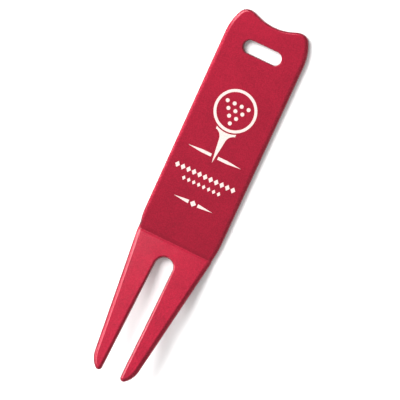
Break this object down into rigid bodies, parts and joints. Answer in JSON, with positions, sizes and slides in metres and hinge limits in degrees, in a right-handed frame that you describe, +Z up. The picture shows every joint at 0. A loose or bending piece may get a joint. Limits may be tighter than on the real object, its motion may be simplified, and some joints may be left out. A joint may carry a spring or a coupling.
{
  "type": "divot repair tool",
  "caption": "Flat pocket tool for golf greens: a stamped, anodised strip with a key slot and scalloped end, and a bent fork with tapering tines.",
  "frame": {"origin": "under the middle of the tool's bounding box, in the plane that the handle's underside rests on", "axes": "+Y along the handle towards its scalloped end (the tines point to -Y), +X across, +Z up out of the printed face"},
  "size_m": [0.0194, 0.0879, 0.0104],
  "materials": {
    "red_anodised": "satin anodised, fine grain",
    "white_ink": "screen-printed ink, low sheen"
  },
  "bodies": {
    "root": {"tool_body": "red_anodised", "print_ball_outline": "white_ink", "print_ball_dimples": "white_ink", "print_tee": "white_ink", "print_turf_line": "white_ink", "print_upper_rule": "white_ink", "print_middle_rule": "white_ink", "print_lower_rule": "white_ink"}
  },
  "joints": []
}
